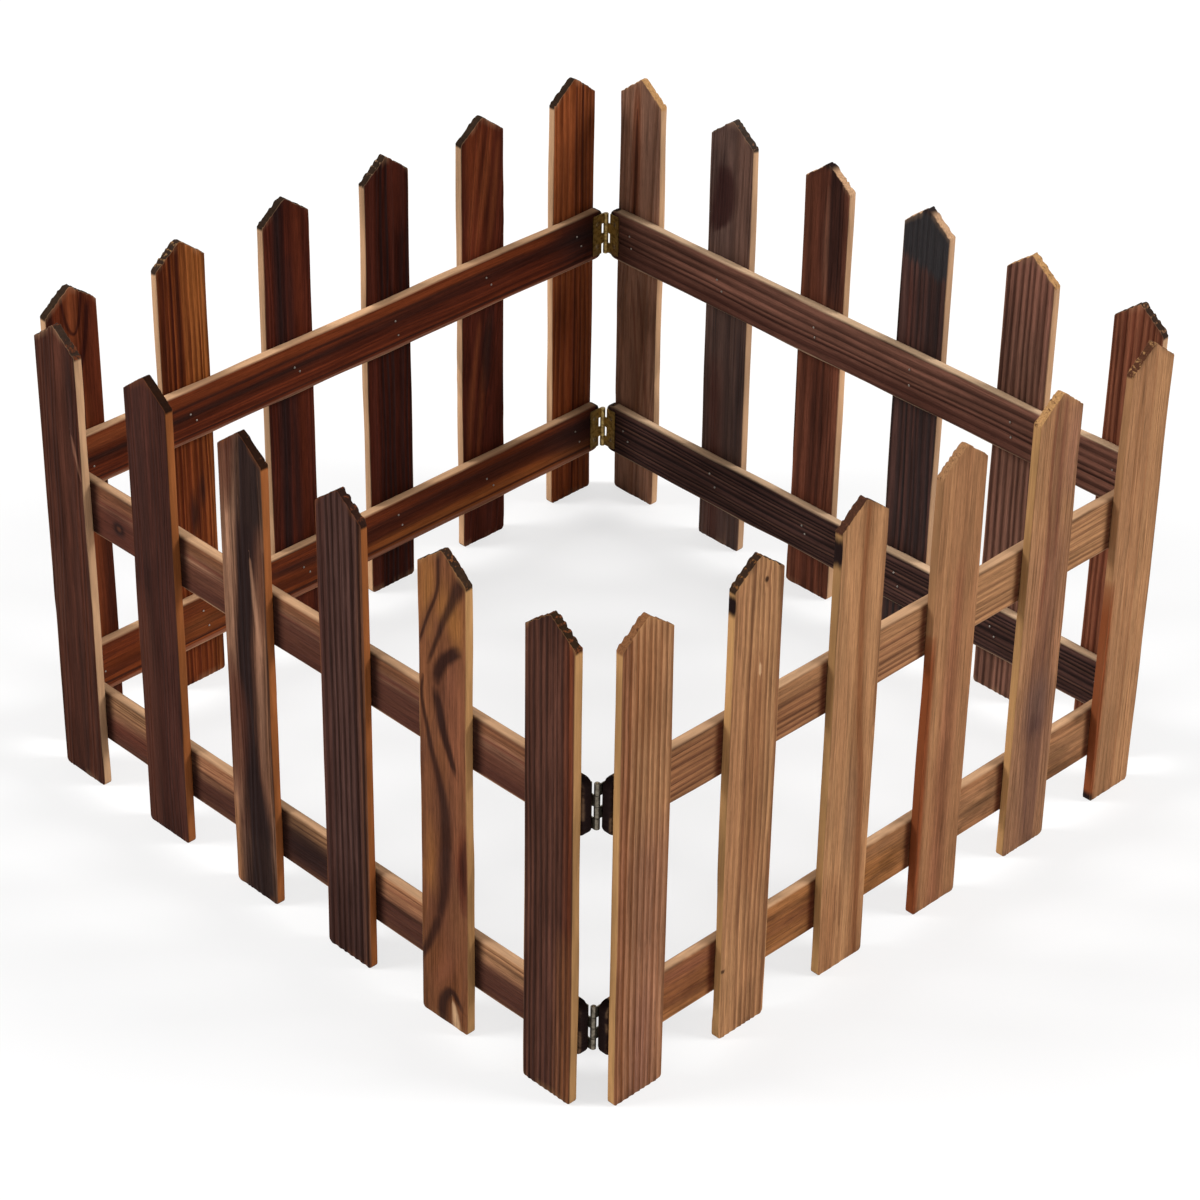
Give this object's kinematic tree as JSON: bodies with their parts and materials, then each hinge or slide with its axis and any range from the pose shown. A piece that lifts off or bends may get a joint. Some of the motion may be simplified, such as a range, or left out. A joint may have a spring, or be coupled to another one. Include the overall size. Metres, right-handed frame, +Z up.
{
  "type": "folding picket fence",
  "caption": "Free-standing square of charred wooden picket panels, joined at the corners by small brass hinges so that it folds flat; it stands round the foot of a tree.",
  "frame": {"origin": "on the floor, at the middle of the square", "axes": "+Z up; panels along X and Y, with the front panel towards -Y"},
  "size_m": [0.4582, 0.4582, 0.3],
  "materials": {
    "picket_wood": "charred and brushed, open grain",
    "rail_wood": "charred and brushed, pale sawn edges",
    "hinge_brass": "dull antiqued",
    "pin_steel": "dull, brass washed"
  },
  "bodies": {
    "front_panel": {"front_rail_lower": "rail_wood", "front_rail_upper": "rail_wood", "front_picket_1": "picket_wood", "front_picket_2": "picket_wood", "front_picket_3": "picket_wood", "front_picket_4": "picket_wood", "front_picket_5": "picket_wood", "front_picket_6": "picket_wood", "front_right_hinge_leaves_front": "hinge_brass", "front_right_hinge_pins": "pin_steel", "front_left_hinge_leaves_front": "hinge_brass"},
    "right_panel": {"right_rail_lower": "rail_wood", "right_rail_upper": "rail_wood", "right_picket_1": "picket_wood", "right_picket_2": "picket_wood", "right_picket_3": "picket_wood", "right_picket_4": "picket_wood", "right_picket_5": "picket_wood", "right_picket_6": "picket_wood", "front_right_hinge_leaves_right": "hinge_brass", "back_right_hinge_leaves_right": "hinge_brass", "back_right_hinge_pins": "pin_steel"},
    "back_panel": {"back_rail_lower": "rail_wood", "back_rail_upper": "rail_wood", "back_picket_1": "picket_wood", "back_picket_2": "picket_wood", "back_picket_3": "picket_wood", "back_picket_4": "picket_wood", "back_picket_5": "picket_wood", "back_picket_6": "picket_wood", "back_right_hinge_leaves_back": "hinge_brass", "back_left_hinge_leaves_back": "hinge_brass", "back_left_hinge_pins": "pin_steel"},
    "left_panel": {"left_rail_lower": "rail_wood", "left_rail_upper": "rail_wood", "left_picket_1": "picket_wood", "left_picket_2": "picket_wood", "left_picket_3": "picket_wood", "left_picket_4": "picket_wood", "left_picket_5": "picket_wood", "left_picket_6": "picket_wood", "back_left_hinge_leaves_left": "hinge_brass", "front_left_hinge_leaves_left": "hinge_brass", "front_left_hinge_pins": "pin_steel"}
  },
  "joints": [
    {"name": "front_right_fold", "type": "hinge", "parent": "front_panel", "child": "right_panel", "pos_m": [0.2155, -0.2155, 0], "axis": [0, 0, 1], "range_deg": [-87, 87]},
    {"name": "front_left_fold", "type": "hinge", "parent": "front_panel", "child": "left_panel", "pos_m": [-0.2155, -0.2155, 0], "axis": [0, 0, 1], "range_deg": [-87, 87]},
    {"name": "back_left_fold", "type": "hinge", "parent": "left_panel", "child": "back_panel", "pos_m": [-0.2155, 0.2155, 0], "axis": [0, 0, 1], "range_deg": [-87, 87]}
  ],
  "couplings": [
    {"joint": "front_left_fold", "follows": "front_right_fold", "ratio": 1},
    {"joint": "back_left_fold", "follows": "front_right_fold", "ratio": -1}
  ]
}
